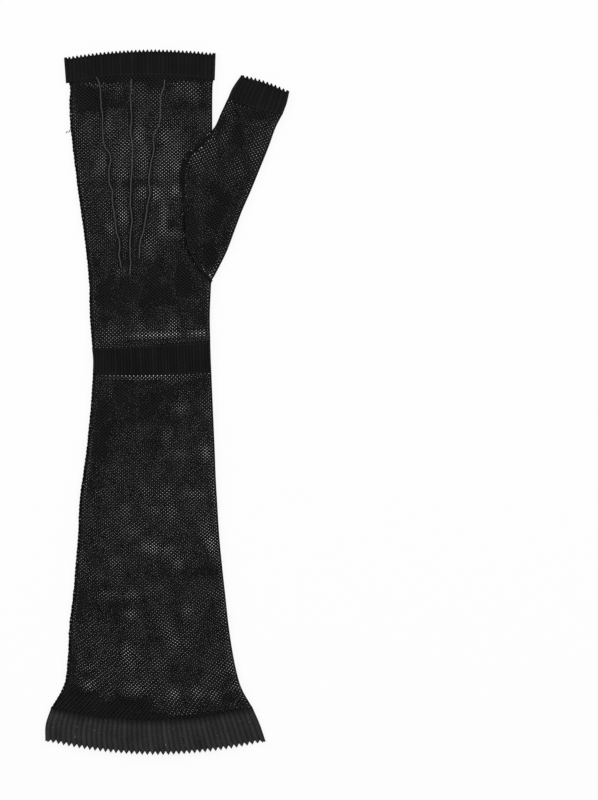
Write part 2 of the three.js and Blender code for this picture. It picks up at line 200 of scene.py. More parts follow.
FOREARM_PATCHES = table(Patch, [
    (0.4751, 0.082, 0.0071, 0.054, 0.60), (0.4600, 0.020, 0.0060, 0.190, 0.45),
    (0.5077, 0.277, 0.0099, 0.054, 0.60), (0.5134, 0.451, 0.0085, 0.034, 0.35),
    (0.5475, 0.176, 0.0128, 0.027, 0.40), (0.5716, 0.444, 0.0113, 0.034, 0.80),
    (0.5730, 0.270, 0.0071, 0.054, 0.30), (0.6240, 0.049, 0.0071, 0.034, 0.40),
    (0.6311, 0.169, 0.0057, 0.047, 0.40), (0.6297, 0.377, 0.0057, 0.087, 0.45),
    (0.6524, 0.216, 0.0142, 0.034, 0.55), (0.6538, 0.109, 0.0057, 0.040, 0.50),
    (0.6538, -0.092, 0.0085, 0.040, 0.35), (0.6822, -0.052, 0.0099, 0.054, 0.40),
    (0.6779, 0.437, 0.0142, 0.047, 0.30), (0.6992, 0.491, 0.0113, 0.047, 1.00),
    (0.7063, 0.069, 0.0085, 0.067, 0.75), (0.7077, 0.189, 0.0071, 0.040, 0.50),
    (0.7262, 0.263, 0.0085, 0.034, 0.60), (0.7262, -0.179, 0.0057, 0.047, 0.35),
    (0.7715, -0.199, 0.0057, 0.054, 0.45), (0.7730, -0.045, 0.0043, 0.047, 0.40),
    (0.7616, 0.116, 0.0057, 0.060, 0.25), (0.7701, 0.491, 0.0071, 0.040, 0.30),
    (0.7999, -0.052, 0.0057, 0.040, 0.60), (0.7956, 0.323, 0.0099, 0.034, 0.50),
    (0.8183, 0.203, 0.0170, 0.034, 0.35), (0.8396, 0.243, 0.0071, 0.034, 0.60),
    (0.8524, -0.079, 0.0128, 0.027, 0.55), (0.8751, -0.052, 0.0085, 0.034, 0.35),
    (0.8722, 0.109, 0.0128, 0.040, 0.35), (0.8751, -0.347, 0.0057, 0.047, 0.40),
    (0.9020, -0.334, 0.0071, 0.047, 0.65), (0.9190, -0.414, 0.0057, 0.047, 0.50),
    (0.9049, -0.005, 0.0099, 0.080, 0.50), (0.9134, 0.230, 0.0071, 0.040, 0.90),
    (0.9105, 0.391, 0.0071, 0.047, 0.80), (0.9134, 0.498, 0.0071, 0.034, 0.55),
    (0.8765, 0.612, 0.0099, 0.034, 0.50), (0.9034, 0.618, 0.0071, 0.040, 0.65),
    (0.5050, 0.060, 0.0480, 0.600, -0.20), (0.8800, 0.050, 0.0600, 0.600, 0.10),
    (0.5500, -0.270, 0.0600, 0.080, -0.25), (0.7418, 0.404, 0.0099, 0.168, -0.25),
    (0.7857, 0.002, 0.0057, 0.335, -0.20),
])
THUMB_PATCHES = table(Patch, [
    (0.0879, 0.753, 0.0099, 0.040, 0.20), (0.1929, 0.592, 0.0113, 0.054, 0.25),
    (0.2581, 0.471, 0.0099, 0.034, 0.30), (0.1603, 0.424, 0.0085, 0.034, 0.20),
    (0.1106, 0.706, 0.0170, 0.067, 0.15),
])

# How far the nets and the bands lie inside the solids' skin, in metres
NET_INSET = 0.00045
BAND_INSET = 0.0001

# Room beside the little-finger fold for the side seam, and thickness of a band's wall
SEAM_ROOM = 0.0009
BAND_WALL = 0.0009

# Longest part of a sleeve over which its palm side's end is shifted, and how soon at the folds
SHIFT_REACH = 0.015
SHIFT_EASE = 3.0

# Width and height of a wave in the laid net's wander, and how far the wave reaches, in metres
BROAD_WAVE = (0.016, 0.024)
BROAD_REACH = 0.0009
STREAK_WAVE = (0.0065, 0.030)
STREAK_REACH = 0.0002

# The wander fades out within this share of a fold, and this length of an end, in metres
FADE_SHARE = 0.08
FADE_LENGTH = 0.006

# Waves of how well the two layers' holes meet, and how much each may add
MOTTLE_WAVE = (0.0080, 0.0110)
MOTTLE = 0.13
SPECKLE_WAVE = (0.0034, 0.0030)
SPECKLE = 0.08
LEAST_OPEN = -0.40

# A patch ends where the squared distance from its middle, in reaches, is more than this
PATCH_END = 6.0

# Waves of the direction in which the palm side's holes slip, and how far it turns
SLIP_WAVE = (0.018, 0.026)
SLIP_TURN = 2.6 * math.pi

# Waves of the back's low relief, and their heights in metres
SWELL_WAVE = (0.030, 0.022)
SWELL = 0.00035
CREASE_WAVE = (0.009, 0.016)
CREASE = 0.00018

# A strand between square corners is this share of the wire's thickness wide
WIRE_SHARE = 0.707

# Half the width and half the height of the net cell that the strand widths are meant for
HALF_CELL = (0.00116, 0.00096)

# Most of a cell's half height that a strand's half width takes, so that a hole stays
MOST_FILLED = 0.985

# Painted light on a net strand: its colour factor beside a hole, a painted shade, and what a painted
# highlight adds to it along the strand's ridge
RIDGE_LIGHT = (0.2, 1.6)

# Reach of the ridge's painted highlight beside its middle, as a share of the wire's thickness
RIDGE_REACH = 0.4

# Height of a pressed strand, as a share of the wire's thickness
STRAND_PRESS = 0.42

# Share of a dense strand's width on each half course of the net, counted from a band's edge
FINGER_LINES = (1.0,) * 10 + (0.98,) * 8 + (0.97, 0.96, 0.95)
HAND_END_LINES = (1.0, 0.98, 0.95, 0.93, 0.95, 0.98, 0.62, 0.86, 0.62, 0.96)
WRIST_LINES = (0.62, 0.88, 0.68, 0.98, 0.95, 0.98, 0.97, 0.97, 0.96)
CUFF_LINES = (1.0, 0.98, 0.97, 0.96, 0.94, 0.92, 0.90)
THUMB_LINES = (1.0, 0.92, 0.86, 0.80)

# Lines thinner than this are eyelets, and their share where the palm side shuts them
EYELET_LINE = 0.90
EYELET_SHUT = 0.94

# Openness at which an eyelet starts to open, and how much more opens it fully
EYELET_START = -0.08
EYELET_EASE = 0.45

# Least share of a dense strand's width at each fold, where it starts, and how soon it eases
LEFT_FOLD = (0.95, 0.020, 0.050)
RIGHT_FOLD = (0.92, 0.930, 0.040)

# Lengths from the seam, the fork and a cord within which strands are dense, and then ease
SEAM_ZONE = (0.0014, 0.0016)
FORK_ZONE = (0.0024, 0.0030)
CORD_ZONE = (0.0009, 0.0014)
CORD_HOLD = 0.90

# The cut edge of a net is drawn onto the seam from no further than this
DRAWN_IN = 0.003

# Depth of a tooth at the folds and what the flats add to it, and the share of the fold's ease
TOOTH_SHARES = (0.3, 0.7)
TOOTH_EASE = 0.06

# Share of a band's height that its teeth reach into
TOOTHED = 0.25

# Doubled points closer than this are merged, and a twisted yarn has so many samples a turn
MERGE = 1e-6
TURN_SAMPLES = 8

# Width and pitch of each seam's yarn and of the loose end
SIDE_SEAM_YARN = (0.0013, 0.0046)
THUMB_SEAM_YARN = (0.0012, 0.0036)
STRAY_YARN = (0.0008, 0.0040)

# Steps along a side seam; its place inside the fold, its sway and the sway's wave, in metres
SIDE_SEAM_STEPS = 120
SIDE_SEAM_IN = 0.0006
SIDE_SEAM_SWAY = 0.0003
SIDE_SEAM_WAVE = 0.0024

# Height of the thumb's seam over the net on each side
THUMB_SEAM_LIFT = {1: 0.0001, -1: 0.0003}

# Pitch, kinks and height of a raised cord; the height is a share of its width
CORD_PITCH = 0.0026
CORD_KINK_WAVE = (0.02, 0.0042)
CORD_KINK = 0.00050
CORD_LIFT = 0.45

# Broad patches of dye, fibres and lint specks of a yarn, and its roughness
DYE_SCALE = 90.0
DYE_GAIN = 3.0
FIBRE_GAIN = 5.0
LINT_SCALE = 620.0
LINT_START = 0.70
LINT_MOST = 0.1
ROUGHNESS = 0.62
ROUGHNESS_SWING = 0.3
BUMP_DEPTH = 0.0003

# Loose yarn end at the little-finger edge: share of the hand's net, and steps from the edge
STRAY_SHARE = 0.190
STRAY_END = (
    (0.0008, 0.0012, 0.0), (-0.0004, 0.0004, 0.0003), (-0.0011, -0.0012, 0.0004),
    (-0.0020, -0.0010, 0.0002), (-0.0027, -0.0019, 0.0),
)

PALM = -1
BACK = 1

# Middle of the view, straight above the floor
VIEW = Vector((0.07759, 0.0014, 3.0))
VIEW_HEIGHT = 0.472
SENSOR = 36.0

# Glow of the paper, light from all round, and each lamp's name, place and power
PAPER_GLOW = 0.903
STUDIO_LIGHT = 0.75
LAMP_SIZE = 0.9
LAMP_AIM = Vector((0.02, 0.0, 0.0))
LAMPS = (("left light", (-1.1, 0.5, 1.5), 26.0), ("right light", (1.1, 0.4, 1.5), 22.0))

WHITE = (1.0, 1.0, 1.0, 1.0)

# What the properties of each kind share
METRES = {"unit": "LENGTH", "subtype": "DISTANCE"}
TINT = {"subtype": "COLOR", "min": 0.0, "max": 1.0}


class MittenSizes(bpy.types.PropertyGroup):
    """Sizes of the mitten that a user may change."""

    hand_width: FloatProperty(
        name="Hand width", description="Flat width that all widths follow",
        default=CAD_HAND_WIDTH, **METRES,
    )
    length: FloatProperty(
        name="Length", description="From the finger edge to the elbow edge",
        default=CAD_LENGTH, **METRES,
    )
    fold_radius: FloatProperty(
        name="Fold radius", description="Half the height of the folded edge",
        default=0.0028, **METRES,
    )
    crown: FloatProperty(
        name="Crown", description="Extra height of the back in the middle",
        default=0.0022, **METRES,
    )
    strand: FloatProperty(
        name="Strand", description="Width of a net strand",
        default=0.00102, **METRES,
    )
    tight_strand: FloatProperty(
        name="Tight strand", description="Width of a strand where the net lies slack",
        default=0.00128, **METRES,
    )
    dense_strand: FloatProperty(
        name="Dense strand", description="Width of a strand where the net is drawn close",
        default=0.00136, **METRES,
    )
    slip: FloatProperty(
        name="Slip", description="Furthest that the palm side's holes lie from the back's",
        default=0.00003, **METRES,
    )
    hand_wale: IntProperty(
        name="Hand wales", description="Columns of net cells across the widest row of the hand",
        default=37,
    )
    forearm_wale: IntProperty(
        name="Forearm wales", description="Columns of net cells across the widest row of the forearm",
        default=47,
    )
    thumb_wale: IntProperty(
        name="Thumb wales", description="Columns of net cells across the widest row of the thumb",
        default=20,
    )
    course: FloatProperty(
        name="Course", description="Height of a net cell",
        default=0.00192, **METRES,
    )
    cord_width: FloatProperty(
        name="Cord", description="Width of a raised cord",
        default=0.0009, **METRES,
    )
    band_tooth: FloatProperty(
        name="Band tooth", description="Depth of a tooth at the fingers and the thumb",
        default=0.0016, **METRES,
    )
    cuff_tooth: FloatProperty(
        name="Cuff tooth", description="Depth of a tooth at the elbow",
        default=0.0023, **METRES,
    )
    band_rib: FloatProperty(
        name="Band rib", description="Depth of a rib in a band",
        default=0.00022, **METRES,
    )
    cuff_rib: FloatProperty(
        name="Cuff rib", description="Depth of a rib in the cuff",
        default=0.0002, **METRES,
    )


class MittenColours(bpy.types.PropertyGroup):
    """Colours of the mitten's yarns and of the stage."""

    net: FloatVectorProperty(
        name="Net", description="Yarn of the net", default=(0.0037, 0.0037, 0.0038),
        **TINT,
    )
    band: FloatVectorProperty(
        name="Band", description="Yarn of the close bands", default=(0.0034, 0.0034, 0.0035),
        **TINT,
    )
    cuff: FloatVectorProperty(
        name="Cuff", description="Yarn of the ribbed cuff", default=(0.0128, 0.0128, 0.0131),
        **TINT,
    )
    cord: FloatVectorProperty(
        name="Cord", description="Yarn of the raised cords", default=(0.0290, 0.0290, 0.0297),
        **TINT,
    )
    floor: FloatVectorProperty(
        name="Floor", description="Paper under the mitten", default=(0.05, 0.05, 0.05),
        **TINT,
    )


def smooth_step(value):
    """Ease from 0 to 1."""
    value = min(max(value, 0.0), 1.0)
    return value * value * (3.0 - 2.0 * value)


def hermite(xs, ys, x):
    """Smooth curve through a table's column."""
    last = len(xs) - 1
    i = 0
    while i < last - 1 and x > xs[i + 1]:
        i += 1
    step = xs[i + 1] - xs[i]
    chord = (ys[i + 1] - ys[i]) / step
    before = (ys[i + 1] - ys[i - 1]) / (xs[i + 1] - xs[i - 1]) if i > 0 else chord
    after = (ys[i + 2] - ys[i]) / (xs[i + 2] - xs[i]) if i + 2 <= last else chord
    u = (x - xs[i]) / step
    a = 2 * u**3 - 3 * u**2 + 1
    b = u**3 - 2 * u**2 + u
    c = 3 * u**2 - 2 * u**3
    d = u**3 - u**2
    return a * ys[i] + b * step * before + c * ys[i + 1] + d * step * after


class Sleeve:
    """A laid, flattened length of tube that follows a table of rows."""

    def __init__(self, rows, sizes, seam_room=0.0, palm_start=0.0, palm_end=0.0):
        self.rows = rows
        self.hand = sizes.hand_width
        self.length = sizes.length
        self.fold = sizes.fold_radius
        self.crown = sizes.crown
        self.origin = Vector((BAND_LOW[0] + BAND_LEFT_SHARE * self.hand, BAND_HIGH[1], 0.0))
        self.seam_room = seam_room / self.hand
        self.palm_start = palm_start
        self.palm_end = palm_end
        self.middles = [(row.left_down + row.right_down) / 2 for row in rows]
        self.cache = {}
        self.edge = min(self.reach, SHIFT_REACH)

    @property
    def reach(self):
        """Length from the first row to the last."""
        return (self.middles[-1] - self.middles[0]) * self.length

    def row(self, share):
        """Row at a share of the way from the first row to the last."""
        key = round(share, 5)
        if key not in self.cache:
            down = self.middles[0] + share * (self.middles[-1] - self.middles[0])
            columns = zip(*self.rows)
            found = Row(*(hermite(self.middles, column, down) for column in columns))
            self.cache[key] = found._replace(left=found.left + self.seam_room)
        return self.cache[key]

    def width(self, row):
        """Flat width of the sleeve along a row."""
        wide = (row.right - row.left) * self.hand
        slant = (row.right_down - row.left_down) * self.length
        return math.hypot(wide, slant)

    def height_at(self, offset, flat, inset, side):
        """Height of the palm or back over the floor, at a distance from the row's middle."""
        if side == PALM:
            return inset
        share = min(max(offset / flat, -0.5), 0.5)
        return 2 * self.fold - inset + self.crown * math.cos(math.pi * share) ** 2

    def point(self, share_down, share, side, inset, drop=0.0):
        """Point of one side; share walks from the left fold to the right fold."""
        row = self.row(share_down)
        width = self.width(row)
        radius = self.fold - inset
        flat = width - 2 * self.fold
        quarter = math.pi * radius / 2
        half = flat + 2 * quarter
        walk = share * half
        if walk < quarter:
            angle = walk / radius
            offset = -flat / 2 - radius * math.cos(angle)
            height = self.fold + side * radius * math.sin(angle)
        elif walk > half - quarter:
            angle = (half - walk) / radius
            offset = flat / 2 + radius * math.cos(angle)
            height = self.fold + side * radius * math.sin(angle)
        else:
            offset = walk - quarter - flat / 2
            height = self.height_at(offset, flat, inset, side)
        across = offset / width + 0.5
        hang = 1.0 - (2 * across - 1) ** 2
        down = (row.left_down + (row.right_down - row.left_down) * across) * self.length
        down += row.bow * self.hand * hang + drop
        if side == PALM:
            near = share_down * self.reach / self.edge
            far = (1.0 - share_down) * self.reach / self.edge
            shift = self.palm_start * smooth_step(1.0 - near) + self.palm_end * smooth_step(1.0 - far)
            down += shift * smooth_step(SHIFT_EASE * min(share, 1.0 - share))
        x = (row.left + (row.right - row.left) * across) * self.hand
        return self.origin + Vector((x, -down, height))

    def share_at(self, y):
        """Share of the way from the first row to the last at a height y."""
        down = (self.origin.y - y) / self.length
        return (down - self.middles[0]) / (self.middles[-1] - self.middles[0])

    def section(self, share, x):
        """Distance from the middle of the row at a share, and the flat's width there."""
        row = self.row(share)
        middle = self.origin.x + (row.left + row.right) / 2 * self.hand
        return x - middle, (row.right - row.left) * self.hand - 2 * self.fold

    def surface(self, x, y, inset, side):
        """Height of the palm or back above a place, or None beside the sleeve."""
        share = self.share_at(y)
        if share < 0.0 or share > 1.0:
            return None
        offset, flat = self.section(share, x)
        if abs(offset) > flat / 2:
            return None
        return self.height_at(offset, flat, inset, side)

    def rounded(self, x, y, inset, side):
        """Height of the palm or back above a place, the rounded folds included."""
        offset, flat = self.section(min(max(self.share_at(y), 0.0), 1.0), x)
        past = abs(offset) - flat / 2
        if past <= 0.0:
            return self.height_at(offset, flat, inset, side)
        radius = self.fold - inset
        return self.fold + side * math.sqrt(max(radius**2 - past**2, 0.0))


def place_xy(place, sleeve):
    """Position of a table's place on the floor."""
    x = sleeve.origin.x + place.across * sleeve.hand
    return Vector((x, sleeve.origin.y - place.down * sleeve.length, 0.0))


def new_piece(name, bm, material):
    """Mesh object from a bmesh, riding on the mitten's one body."""
    mesh = bpy.data.meshes.new(name)
    for face in bm.faces:
        face.smooth = True
    bm.to_mesh(mesh)
    bm.free()
    piece = bpy.data.objects.new(name, mesh)
    bpy.context.scene.collection.objects.link(piece)
    mesh.materials.append(material)
    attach(piece, "root")
    return piece


def feed(tree, value, socket):
    """Set a socket to a number, or link another socket to it."""
    if isinstance(value, (int, float)):
        socket.default_value = value
    else:
        tree.links.new(value, socket)


def math_node(tree, operation, *values):
    """Math node fed by sockets or numbers."""
    node = tree.nodes.new("ShaderNodeMath")
    node.operation = operation
    for value, socket in zip(values, node.inputs):
        feed(tree, value, socket)
    return node.outputs[0]


def noise_node(tree, coords, scale, detail):
    """Noise on the object's own coordinates."""
    node = tree.nodes.new("ShaderNodeTexNoise")
    node.inputs["Detail"].default_value = detail
    feed(tree, scale, node.inputs["Scale"])
    tree.links.new(coords["Object"], node.inputs["Vector"])
    return node.outputs["Fac"]


def scaled_colour(tree, colour, factor):
    """Colour times a factor that changes over the surface."""
    node = tree.nodes.new("ShaderNodeVectorMath")
    node.operation = "SCALE"
    tree.links.new(colour, node.inputs[0])
    tree.links.new(factor, node.inputs["Scale"])
    return node.outputs[0]


def open_group(name, inputs, outputs):
    """New node group with its sockets; returns it, what it is given, puts out and can read."""
    tree = bpy.data.node_groups.new(name, "ShaderNodeTree")
    for title, default in inputs:
        kind = "NodeSocketFloat" if isinstance(default, float) else "NodeSocketColor"
        socket = tree.interface.new_socket(name=title, in_out="INPUT", socket_type=kind)
        socket.default_value = default
    for title in outputs:
        kind = "NodeSocketColor" if title == "Color" else "NodeSocketFloat"
        tree.interface.new_socket(name=title, in_out="OUTPUT", socket_type=kind)
    given = tree.nodes.new("NodeGroupInput").outputs
    put = tree.nodes.new("NodeGroupOutput").inputs
    return tree, given, put, tree.nodes.new("ShaderNodeTexCoord").outputs


def yarn_group():
    """Node group: uneven dye and fine fibres of a silk yarn."""
    name = "Silk yarn"
    if name in bpy.data.node_groups:
        return bpy.data.node_groups[name]
    tree, given, put, coords = open_group(
        name,
        (("Yarn", (0.01, 0.01, 0.01, 1.0)), ("Unevenness", 0.25), ("Fibre scale", 2500.0), ("Lint", 0.0)),
        ("Color", "Height", "Roughness"),
    )
    links = tree.links
    dye = noise_node(tree, coords, DYE_SCALE, 4.0)
    fibres = noise_node(tree, coords, given["Fibre scale"], 2.0)
    centred = math_node(tree, "SUBTRACT", dye, 0.5)
    swing = math_node(tree, "MULTIPLY", centred, given["Unevenness"])
    fine = math_node(tree, "SUBTRACT", fibres, 0.5)
    fine_swing = math_node(tree, "MULTIPLY", fine, given["Unevenness"])
    fine_swing = math_node(tree, "MULTIPLY", fine_swing, FIBRE_GAIN)
    total = math_node(tree, "ADD", math_node(tree, "MULTIPLY", swing, DYE_GAIN), fine_swing)
    scaled = scaled_colour(tree, given["Yarn"], math_node(tree, "ADD", total, 1.0))
    above = math_node(tree, "SUBTRACT", noise_node(tree, coords, LINT_SCALE, 1.0), LINT_START)
    speck = math_node(tree, "MINIMUM", math_node(tree, "MAXIMUM", above, 0.0), LINT_MOST)
    dusty = tree.nodes.new("ShaderNodeVectorMath")
    dusty.operation = "ADD"
    links.new(scaled, dusty.inputs[0])
    links.new(math_node(tree, "MULTIPLY", speck, given["Lint"]), dusty.inputs[1])
    links.new(dusty.outputs[0], put["Color"])
    links.new(fibres, put["Height"])
    uneven = math_node(tree, "MULTIPLY", fine, ROUGHNESS_SWING)
    links.new(math_node(tree, "ADD", uneven, ROUGHNESS), put["Roughness"])
    return tree


def stitch_group():
    """Node group: ribs and columns of knitted loops laid out on the UV map, with painted light: Shade is
    lighter on the rib crests and where loops stand high, and Start is a painted shade near the band's
    start edge.
    """
    name = "Knit loops"
    if name in bpy.data.node_groups:
        return bpy.data.node_groups[name]
    tree, given, put, coords = open_group(
        name, (("Wales", 84.0), ("Courses", 12.0), ("Painted start shade", 0.0)), ("Height", "Shade", "Start"),
    )
    nodes, links = tree.nodes, tree.links
    split = nodes.new("ShaderNodeSeparateXYZ")
    links.new(coords["UV"], split.inputs[0])
    wide = math_node(tree, "MULTIPLY", split.outputs["X"], given["Wales"])
    column = math_node(tree, "ADD", wide, 0.5)
    line = math_node(tree, "MULTIPLY", split.outputs["Y"], given["Courses"])
    within = math_node(tree, "SUBTRACT", math_node(tree, "FRACT", column), 0.5)
    away = math_node(tree, "MULTIPLY", math_node(tree, "ABSOLUTE", within), 2.0)
    slanted = math_node(tree, "ADD", line, math_node(tree, "MULTIPLY", away, 0.7))
    turn = math_node(tree, "MULTIPLY", slanted, 2 * math.pi)
    arm = math_node(tree, "MULTIPLY_ADD", math_node(tree, "COSINE", turn), 0.5, 0.5)
    body = math_node(tree, "SUBTRACT", 1.0, math_node(tree, "POWER", away, 3.0))
    links.new(math_node(tree, "MULTIPLY", arm, body), put["Height"])
    luck = nodes.new("ShaderNodeTexWhiteNoise")
    luck.noise_dimensions = "1D"
    links.new(math_node(tree, "FLOOR", column), luck.inputs["W"])
    uneven = math_node(tree, "MULTIPLY_ADD", luck.outputs["Value"], 0.6, 0.7)
    # Painted light: the rib crests are lighter than the grooves between them, and the loops lighter where
    # they stand highest
    crest = math_node(tree, "SUBTRACT", 1.0, math_node(tree, "POWER", away, 1.6))
    lit = math_node(tree, "MULTIPLY", crest, uneven)
    loop_painted_light = math_node(tree, "MULTIPLY_ADD", arm, 0.35, 0.82)
    links.new(math_node(tree, "MULTIPLY", lit, loop_painted_light), put["Shade"])
    # Painted shade: the colour darkens over the fifth of the band nearest its start edge, where it meets
    # the net
    down = math_node(tree, "SUBTRACT", 1.0, split.outputs["Y"])
    left = math_node(tree, "SUBTRACT", 1.0, math_node(tree, "MULTIPLY", down, 5.0))
    near = math_node(tree, "MAXIMUM", left, 0.0)
    faded = math_node(tree, "MULTIPLY", near, given["Painted start shade"])
    links.new(math_node(tree, "SUBTRACT", 1.0, faded), put["Start"])
    return tree


def yarn_material(name, colour, unevenness=0.25, loops=None, fibre=2500.0, lustre=0.04,
                  shade=(0.78, 0.45), lint=0.0, dark_start=0.0, ridged=False):
    """Principled yarn; loops is (wales, courses) where the surface is closely knitted."""
    material = bpy.data.materials.new(name)
    material.use_nodes = True
    tree = material.node_tree
    shader = tree.nodes["Principled BSDF"]
    shader.inputs["Specular IOR Level"].default_value = lustre
    yarn = tree.nodes.new("ShaderNodeGroup")
    yarn.node_tree = yarn_group()
    yarn.inputs["Yarn"].default_value = (*colour, 1.0)
    yarn.inputs["Unevenness"].default_value = unevenness
    yarn.inputs["Fibre scale"].default_value = fibre
    yarn.inputs["Lint"].default_value = lint
    tree.links.new(yarn.outputs["Roughness"], shader.inputs["Roughness"])
    bump = tree.nodes.new("ShaderNodeBump")
    bump.inputs["Distance"].default_value = BUMP_DEPTH
    bump.inputs["Strength"].default_value = 0.5
    tree.links.new(bump.outputs["Normal"], shader.inputs["Normal"])
    if loops is None:
        # Painted light on the net's strands: the Ridge mask lightens the colour along each strand's
        # ridge, a painted highlight, and darkens it beside the holes, a painted shade
        ridge = tree.nodes.new("ShaderNodeAttribute")
        ridge.attribute_name = "Ridge"
        base, rise = RIDGE_LIGHT if ridged else (1.0, 0.0)
        gain = math_node(tree, "MULTIPLY_ADD", ridge.outputs["Fac"], rise, base)
        lit = scaled_colour(tree, yarn.outputs["Color"], gain)
        tree.links.new(lit, shader.inputs["Base Color"])
        tree.links.new(yarn.outputs["Height"], bump.inputs["Height"])
        return material
    knit = tree.nodes.new("ShaderNodeGroup")
    knit.node_tree = stitch_group()
    knit.inputs["Wales"].default_value = loops[0]
    knit.inputs["Courses"].default_value = loops[1]
    knit.inputs["Painted start shade"].default_value = dark_start
    height = math_node(tree, "MULTIPLY", yarn.outputs["Height"], 0.25)
    total = math_node(tree, "ADD", height, knit.outputs["Height"])
    tree.links.new(total, bump.inputs["Height"])
    bump.inputs["Strength"].default_value = 0.9
    # Painted light on the knit: the colour is lighter on the rib crests and high loops and darker in the
    # grooves
    gain = math_node(tree, "MULTIPLY_ADD", knit.outputs["Shade"], shade[1], shade[0])
    faded = math_node(tree, "MULTIPLY", gain, knit.outputs["Start"])
    lit = scaled_colour(tree, yarn.outputs["Color"], faded)
    tree.links.new(lit, shader.inputs["Base Color"])
    return material


def shared_material(key, colour, **details):
    """Material by name, made once."""
    found = bpy.data.materials.get(key)
    return found or yarn_material(key, colour, **details)


def wave_at(x, y, wave, seed):
    """Place in a noise field whose waves have the given width and height."""
    return Vector((x / wave[0], y / wave[1], seed))


def warp(x, y, seed):
    """In-plane wander of the net, in metres."""
    broad = noise.noise_vector(wave_at(x, y, BROAD_WAVE, seed))
    streak = noise.noise_vector(wave_at(x, y, STREAK_WAVE, seed + 7.3))
    dx = BROAD_REACH * broad.x + STREAK_REACH * streak.x
    dy = BROAD_REACH * broad.y + STREAK_REACH * streak.y
    return dx, dy


def openness(x, y, sleeve, patches, ease):
    """How well the two layers' holes meet at a place: 1 is open, and below 0 is nearly closed."""
    down = (sleeve.origin.y - y) / sleeve.length
    across = (x - sleeve.origin.x) / sleeve.hand
    found = ease + MOTTLE * noise.noise(wave_at(x, y, MOTTLE_WAVE, 2.0))
    found += SPECKLE * noise.noise(wave_at(x, y, SPECKLE_WAVE, 8.0))
    for patch in patches:
        far = ((down - patch.down) / patch.reach_down) ** 2
        far += ((across - patch.across) / patch.reach_across) ** 2
        if far < PATCH_END:
            found += patch.amount * math.exp(-far)
    return min(max(found, LEAST_OPEN), 1.0)


def slip_of(x, y, opened, most):
    """Offset of the palm side's holes from the back's, in metres."""
    turn = SLIP_TURN * noise.noise(wave_at(x, y, SLIP_WAVE, 5.0))
    gone = most * (1.0 - opened)
    return gone * math.cos(turn), gone * math.sin(turn)


def rumple(x, y, seed):
    """Low relief of the laid net, in metres."""
    wide = noise.noise(wave_at(x, y, SWELL_WAVE, seed))
    small = noise.noise(wave_at(x, y, CREASE_WAVE, seed + 3.1))
    return SWELL * wide + CREASE * small


def diamond_lattice(wales, courses):
    """Sheet of diamonds on a square of side 1: two diamonds for each cell."""
    bm = bmesh.new()
    bmesh.ops.create_grid(bm, x_segments=wales, y_segments=courses, size=0.5)
    lines = [edge for edge in bm.edges if not edge.is_boundary]
    bmesh.ops.poke(bm, faces=bm.faces)
    bmesh.ops.dissolve_edges(bm, edges=lines, use_verts=False)
    return bm


def evaluated_mesh(holder):
    """Mesh of an object with its modifiers or its curve worked out."""
    bpy.context.view_layer.update()
    graph = bpy.context.evaluated_depsgraph_get()
    return bpy.data.meshes.new_from_object(holder.evaluated_get(graph))


def strand_wire(piece, width):
    """Strands along every edge of the lattice, thinner where the net is open and pressed flat."""
    piece.vertex_groups.new(name="Density")
    wire = piece.modifiers.new("Strands", "WIREFRAME")
    wire.vertex_group = "Density"
    wire.thickness = width
    wire.use_replace = True
    wire.use_boundary = True
    wire.use_even_offset = False
    wire.use_relative_offset = False
    wire.offset = 0.0
    lattice = [(vert.co.copy(), vert.normal.copy()) for vert in piece.data.vertices]
    knots = kdtree.KDTree(len(lattice))
    for index, (place, _) in enumerate(lattice):
        knots.insert(place, index)
    knots.balance()
    mesh = evaluated_mesh(piece)
    # Ridge is the mask of the painted light on the strands: 1 along a strand's ridge, falling to 0 beside
    # its holes
    ridge = mesh.attributes.new("Ridge", "FLOAT", "POINT")
    for vert in mesh.vertices:
        place, index, _ = knots.find(vert.co)
        normal = lattice[index][1]
        height = (vert.co - place).dot(normal)
        beside = (vert.co - place - normal * height).length
        ridge.data[vert.index].value = 1.0 - smooth_step(beside / (RIDGE_REACH * width))
        vert.co -= normal * height * (1.0 - STRAND_PRESS)
    piece.modifiers.clear()
    piece.vertex_groups.clear()
    piece.data = mesh


def line_weight(lines, row):
    """Share of the dense strand's width that a band's edge asks of a half course."""
    return lines[row] if row < len(lines) else 0.0


def fitted(weight, wire, cell):
    """Share of the wire's thickness that leaves the same hole in a cell of another shape."""
    offset = min(weight * wire / 2, MOST_FILLED * HALF_CELL[1])
    hole = (HALF_CELL[0] - offset) * (HALF_CELL[1] - offset)
    across, upwards = cell
    area = across.cross(upwards)
    normal = area.normalized()
    rising = (upwards - across).normalized()
    falling = (-upwards - across).normalized()
    from_side = (rising + falling).normalized()
    from_top = (falling - rising).normalized()
    second = from_side.cross(from_top).dot(normal)
    first = (from_side.cross(upwards) + across.cross(from_top)).dot(normal)
    root = math.sqrt(max(first ** 2 - 4 * second * (area.length - hole), 0.0))
    return max((-first - root) / (second * wire), 0.0) if second > 0.0 else weight


def half_cell(vert, grid, outside):
    """Half the width and half the height of the net's cell round a knot, as laid vectors."""
    ends = [edge.other_vert(vert) for edge in vert.link_edges]
    place = grid[vert]
    right = [end.co for end in ends if grid[end].x > place.x]
    left = [end.co for end in ends if grid[end].x < place.x]
    above = [end.co for end in ends if grid[end].y > place.y]
    below = [end.co for end in ends if grid[end].y < place.y]
    whole = all(len(part) == 2 for part in (right, left, above, below))
    if not whole or any(end in outside for end in ends):
        return Vector((HALF_CELL[0], 0.0, 0.0)), Vector((0.0, HALF_CELL[1], 0.0))
    across = (right[0] + right[1] - left[0] - left[1]) / 4
    upwards = (above[0] + above[1] - below[0] - below[1]) / 4
    return across, upwards


